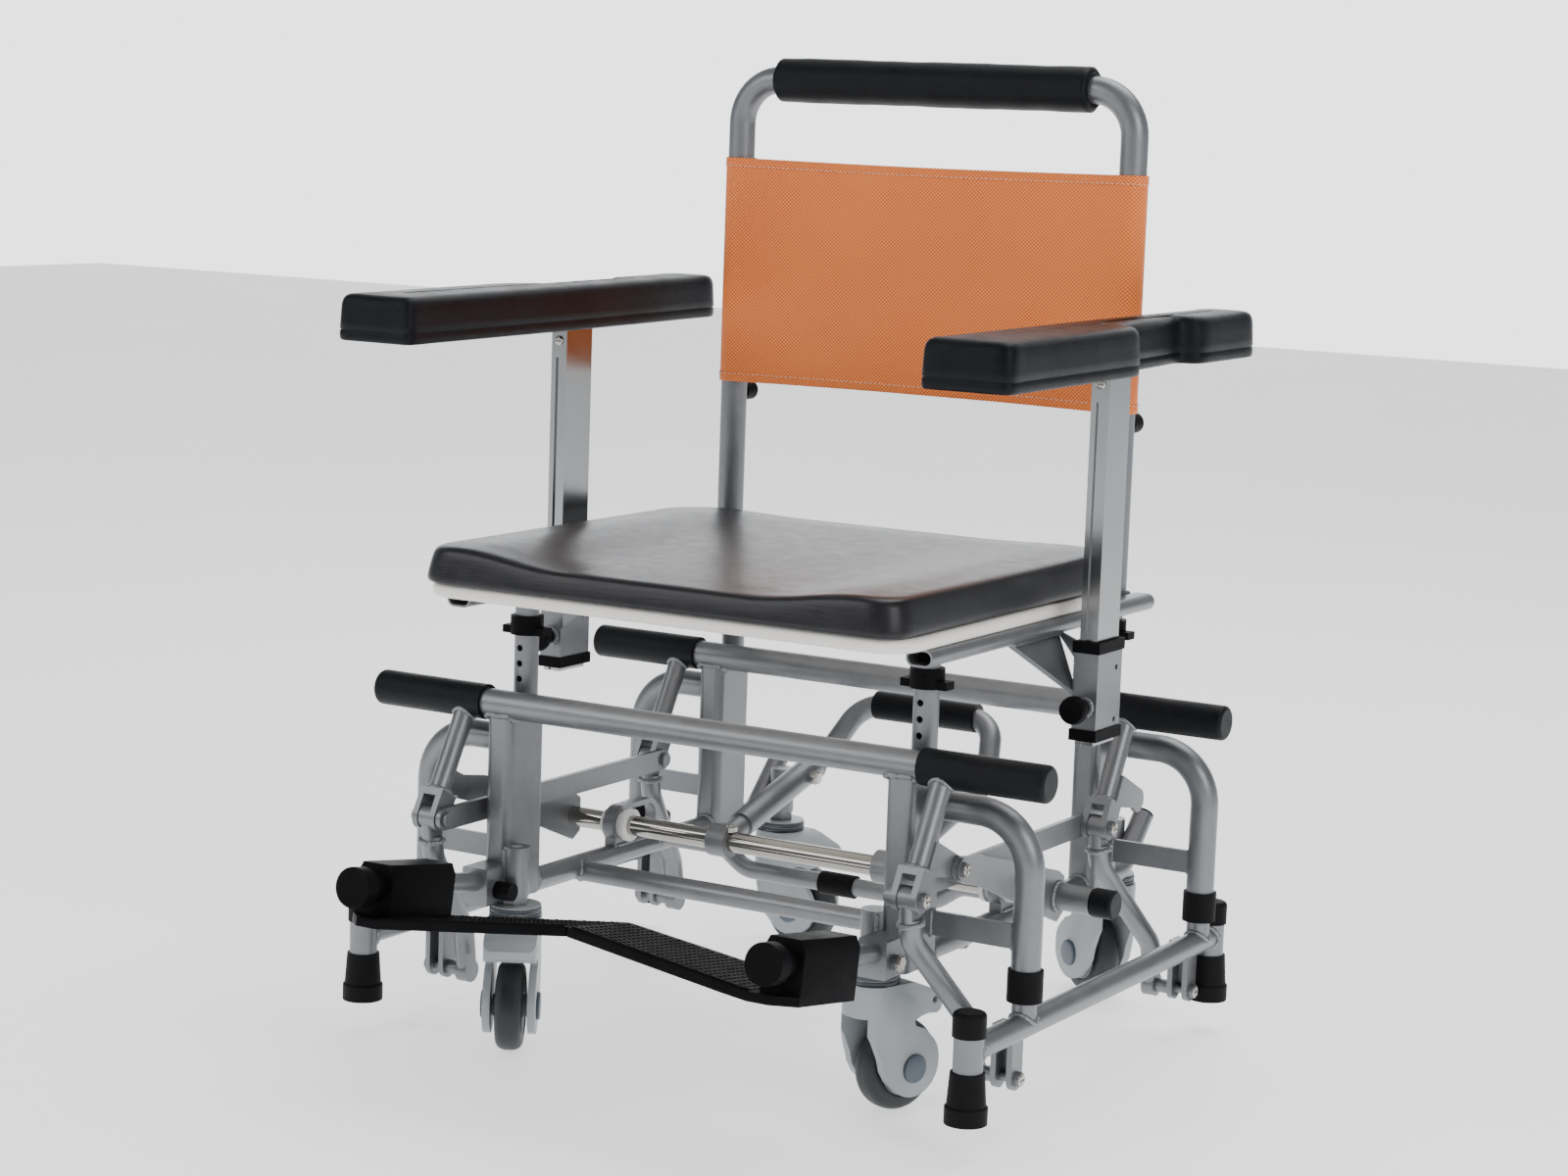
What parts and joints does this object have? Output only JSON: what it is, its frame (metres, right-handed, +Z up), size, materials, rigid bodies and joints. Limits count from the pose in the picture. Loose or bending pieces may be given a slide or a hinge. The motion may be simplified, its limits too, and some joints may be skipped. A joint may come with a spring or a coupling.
{
  "type": "shower trolley chair",
  "caption": "Shower trolley chair with caster base, drop-down rubber feet on toggle links, padded seat, orange cloth back, armrests and fold-up footplates.",
  "frame": {"origin": "on the floor under the middle of the trolley's outline", "axes": "+Z up, +Y towards the back where the carer stands, +X to the right as seen from the front; the trolley is mirror-like about X = 0"},
  "size_m": [0.68, 0.7314, 0.886],
  "materials": {
    "frame_silver": "satin silver-grey coat",
    "polished_aluminium": "polished",
    "chrome_rod": "mirror",
    "black_rubber": "matte",
    "black_foam": "fine-grained foam",
    "black_plastic": "satin",
    "black_leather": "grained vinyl",
    "white_plastic": "smooth",
    "caster_grey": "smooth light grey",
    "tyre_grey": "matte charcoal",
    "orange_mesh": "woven mesh"
  },
  "bodies": {
    "base": {"cross_rails": "frame_silver", "posts": "frame_silver", "side_tubes": "frame_silver", "low_cross_tubes": "frame_silver", "caster_sockets": "frame_silver", "guide_legs": "frame_silver", "footrest_clamps": "frame_silver", "footrest_arms": "frame_silver", "tube_plugs": "black_plastic", "guide_bushings": "black_rubber", "footrest_knobs": "black_plastic"},
    "seat": {"seat_frame": "frame_silver", "seat_legs": "frame_silver", "seat_board": "white_plastic", "arm_sockets": "frame_silver", "socket_rings": "black_plastic", "backrest_tube": "frame_silver", "push_grip": "black_foam", "backrest_mesh": "orange_mesh", "backrest_knobs": "black_plastic"},
    "cushion": {"seat_cushion": "black_leather"},
    "shaft": {"cross_shaft": "chrome_rod", "shaft_rollers": "white_plastic", "pull_lever": "frame_silver", "lever_grip_and_knobs": "black_foam"},
    "shaft_plates_body": {"shaft_plates": "frame_silver"},
    "link_fl": {"upper_link_fl": "frame_silver", "rail_grip_fl": "black_foam"},
    "lower_fl": {"lower_link_fl": "frame_silver"},
    "link_fr": {"upper_link_fr": "frame_silver", "rail_grip_fr": "black_foam"},
    "lower_fr": {"lower_link_fr": "frame_silver"},
    "link_rl": {"upper_link_rl": "frame_silver", "rail_grip_rl": "black_foam"},
    "lower_rl": {"lower_link_rl": "frame_silver"},
    "link_rr": {"upper_link_rr": "frame_silver", "rail_grip_rr": "black_foam"},
    "lower_rr": {"lower_link_rr": "frame_silver"},
    "feet_l": {"foot_frame_l": "frame_silver", "foot_rubbers_l": "black_rubber"},
    "bar_l": {"link_bar_l": "frame_silver"},
    "arm_l": {"arm_post_l": "polished_aluminium", "arm_pad_l": "black_leather"},
    "knob_l": {"lock_knob_l": "black_plastic"},
    "plate_l": {"footplate_l": "black_plastic"},
    "feet_r": {"foot_frame_r": "frame_silver", "foot_rubbers_r": "black_rubber"},
    "bar_r": {"link_bar_r": "frame_silver"},
    "arm_r": {"arm_post_r": "polished_aluminium", "arm_pad_r": "black_leather"},
    "knob_r": {"lock_knob_r": "black_plastic"},
    "plate_r": {"footplate_r": "black_plastic"},
    "fork_fl": {"caster_fork_fl": "caster_grey"},
    "wheel_fl": {"caster_wheel_fl": "tyre_grey"},
    "fork_fr": {"caster_fork_fr": "caster_grey"},
    "wheel_fr": {"caster_wheel_fr": "tyre_grey"},
    "fork_rl": {"caster_fork_rl": "caster_grey"},
    "wheel_rl": {"caster_wheel_rl": "tyre_grey"},
    "fork_rr": {"caster_fork_rr": "caster_grey"},
    "wheel_rr": {"caster_wheel_rr": "tyre_grey"}
  },
  "joints": [
    {"name": "toggle_fl", "type": "hinge", "parent": "base", "child": "link_fl", "pos_m": [-0.278, -0.145, 0.304], "axis": [1, 0, 0], "range_deg": [0, 36.2]},
    {"name": "seat_height", "type": "slide", "parent": "base", "child": "seat", "axis": [0, 0, 1], "range_m": [0, 0.042]},
    {"name": "cushion_lift", "type": "slide", "parent": "seat", "child": "cushion", "axis": [0, 0, 1], "range_m": [0, 0.06]},
    {"name": "shaft_draw", "type": "slide", "parent": "base", "child": "shaft", "axis": [0, 1, 0], "range_m": [0, 0.043]},
    {"name": "plate_turn", "type": "hinge", "parent": "shaft", "child": "shaft_plates_body", "pos_m": [0, 0.045, 0.1635], "axis": [1, 0, 0], "range_deg": [-5.1, 0]},
    {"name": "knee_fl", "type": "hinge", "parent": "link_fl", "child": "lower_fl", "pos_m": [-0.243, -0.1995, 0.205], "axis": [1, 0, 0], "range_deg": [-58.78, 0]},
    {"name": "toggle_fr", "type": "hinge", "parent": "base", "child": "link_fr", "pos_m": [0.278, -0.145, 0.304], "axis": [1, 0, 0], "range_deg": [0, 36.2]},
    {"name": "knee_fr", "type": "hinge", "parent": "link_fr", "child": "lower_fr", "pos_m": [0.243, -0.1995, 0.205], "axis": [1, 0, 0], "range_deg": [-58.78, 0]},
    {"name": "toggle_rl", "type": "hinge", "parent": "base", "child": "link_rl", "pos_m": [-0.278, 0.21, 0.304], "axis": [1, 0, 0], "range_deg": [0, 36.2]},
    {"name": "knee_rl", "type": "hinge", "parent": "link_rl", "child": "lower_rl", "pos_m": [-0.243, 0.1555, 0.205], "axis": [1, 0, 0], "range_deg": [-58.78, 0]},
    {"name": "toggle_rr", "type": "hinge", "parent": "base", "child": "link_rr", "pos_m": [0.278, 0.21, 0.304], "axis": [1, 0, 0], "range_deg": [0, 36.2]},
    {"name": "knee_rr", "type": "hinge", "parent": "link_rr", "child": "lower_rr", "pos_m": [0.243, 0.1555, 0.205], "axis": [1, 0, 0], "range_deg": [-58.78, 0]},
    {"name": "feet_down_l", "type": "slide", "parent": "base", "child": "feet_l", "axis": [0, 0, -1], "range_m": [0, 0.0346]},
    {"name": "bar_l", "type": "hinge", "parent": "link_fl", "child": "bar_l", "pos_m": [-0.228, -0.1995, 0.205], "axis": [1, 0, 0], "range_deg": [-36.2, 0]},
    {"name": "arm_height_l", "type": "slide", "parent": "seat", "child": "arm_l", "axis": [0, 0, 1], "range_m": [0, 0.03]},
    {"name": "knob_pull_l", "type": "slide", "parent": "seat", "child": "knob_l", "axis": [0, -1, 0], "range_m": [0, 0.006], "stiffness_N_per_m": 300, "springref_m": -0.002},
    {"name": "plate_fold_l", "type": "hinge", "parent": "base", "child": "plate_l", "pos_m": [-0.203, -0.28646, 0.16504], "axis": [0, -0.9882, 0.153], "range_deg": [0, 95]},
    {"name": "feet_down_r", "type": "slide", "parent": "base", "child": "feet_r", "axis": [0, 0, -1], "range_m": [0, 0.0346]},
    {"name": "bar_r", "type": "hinge", "parent": "link_fr", "child": "bar_r", "pos_m": [0.228, -0.1995, 0.205], "axis": [1, 0, 0], "range_deg": [-36.2, 0]},
    {"name": "arm_height_r", "type": "slide", "parent": "seat", "child": "arm_r", "axis": [0, 0, 1], "range_m": [0, 0.03]},
    {"name": "knob_pull_r", "type": "slide", "parent": "seat", "child": "knob_r", "axis": [0, -1, 0], "range_m": [0, 0.006], "stiffness_N_per_m": 300, "springref_m": -0.002},
    {"name": "plate_fold_r", "type": "hinge", "parent": "base", "child": "plate_r", "pos_m": [0.203, -0.28646, 0.16504], "axis": [0, 0.9882, -0.153], "range_deg": [0, 95]},
    {"name": "swivel_fl", "type": "hinge", "parent": "base", "child": "fork_fl", "pos_m": [-0.184, -0.149, 0.15], "axis": [0, 0, 1], "continuous": true},
    {"name": "roll_fl", "type": "hinge", "parent": "fork_fl", "child": "wheel_fl", "pos_m": [-0.16868, -0.1748, 0.04], "axis": [-0.8599, -0.5105, 0], "continuous": true},
    {"name": "swivel_fr", "type": "hinge", "parent": "base", "child": "fork_fr", "pos_m": [0.184, -0.149, 0.15], "axis": [0, 0, 1], "continuous": true},
    {"name": "roll_fr", "type": "hinge", "parent": "fork_fr", "child": "wheel_fr", "pos_m": [0.19327, -0.12047, 0.04], "axis": [0.9511, -0.309, 0], "continuous": true},
    {"name": "swivel_rl", "type": "hinge", "parent": "base", "child": "fork_rl", "pos_m": [-0.184, 0.314, 0.15], "axis": [0, 0, 1], "continuous": true},
    {"name": "roll_rl", "type": "hinge", "parent": "fork_rl", "child": "wheel_rl", "pos_m": [-0.15418, 0.31076, 0.04], "axis": [-0.108, -0.9942, 0], "continuous": true},
    {"name": "swivel_rr", "type": "hinge", "parent": "base", "child": "fork_rr", "pos_m": [0.184, 0.314, 0.15], "axis": [0, 0, 1], "continuous": true},
    {"name": "roll_rr", "type": "hinge", "parent": "fork_rr", "child": "wheel_rr", "pos_m": [0.15943, 0.33121, 0.04], "axis": [0.5736, 0.8192, 0], "continuous": true}
  ],
  "couplings": [
    {"joint": "shaft_draw", "follows": "toggle_fl", "m_per_rad": 0.068059},
    {"joint": "plate_turn", "follows": "toggle_fl", "ratio": -0.14088},
    {"joint": "knee_fl", "follows": "toggle_fl", "ratio": -1.6238},
    {"joint": "toggle_fr", "follows": "toggle_fl", "ratio": 1},
    {"joint": "knee_fr", "follows": "toggle_fl", "ratio": -1.6238},
    {"joint": "toggle_rl", "follows": "toggle_fl", "ratio": 1},
    {"joint": "knee_rl", "follows": "toggle_fl", "ratio": -1.6238},
    {"joint": "toggle_rr", "follows": "toggle_fl", "ratio": 1},
    {"joint": "knee_rr", "follows": "toggle_fl", "ratio": -1.6238},
    {"joint": "feet_down_l", "follows": "toggle_fl", "m_per_rad": 0.054763},
    {"joint": "bar_l", "follows": "toggle_fl", "ratio": -1},
    {"joint": "feet_down_r", "follows": "toggle_fl", "m_per_rad": 0.054763},
    {"joint": "bar_r", "follows": "toggle_fl", "ratio": -1}
  ]
}
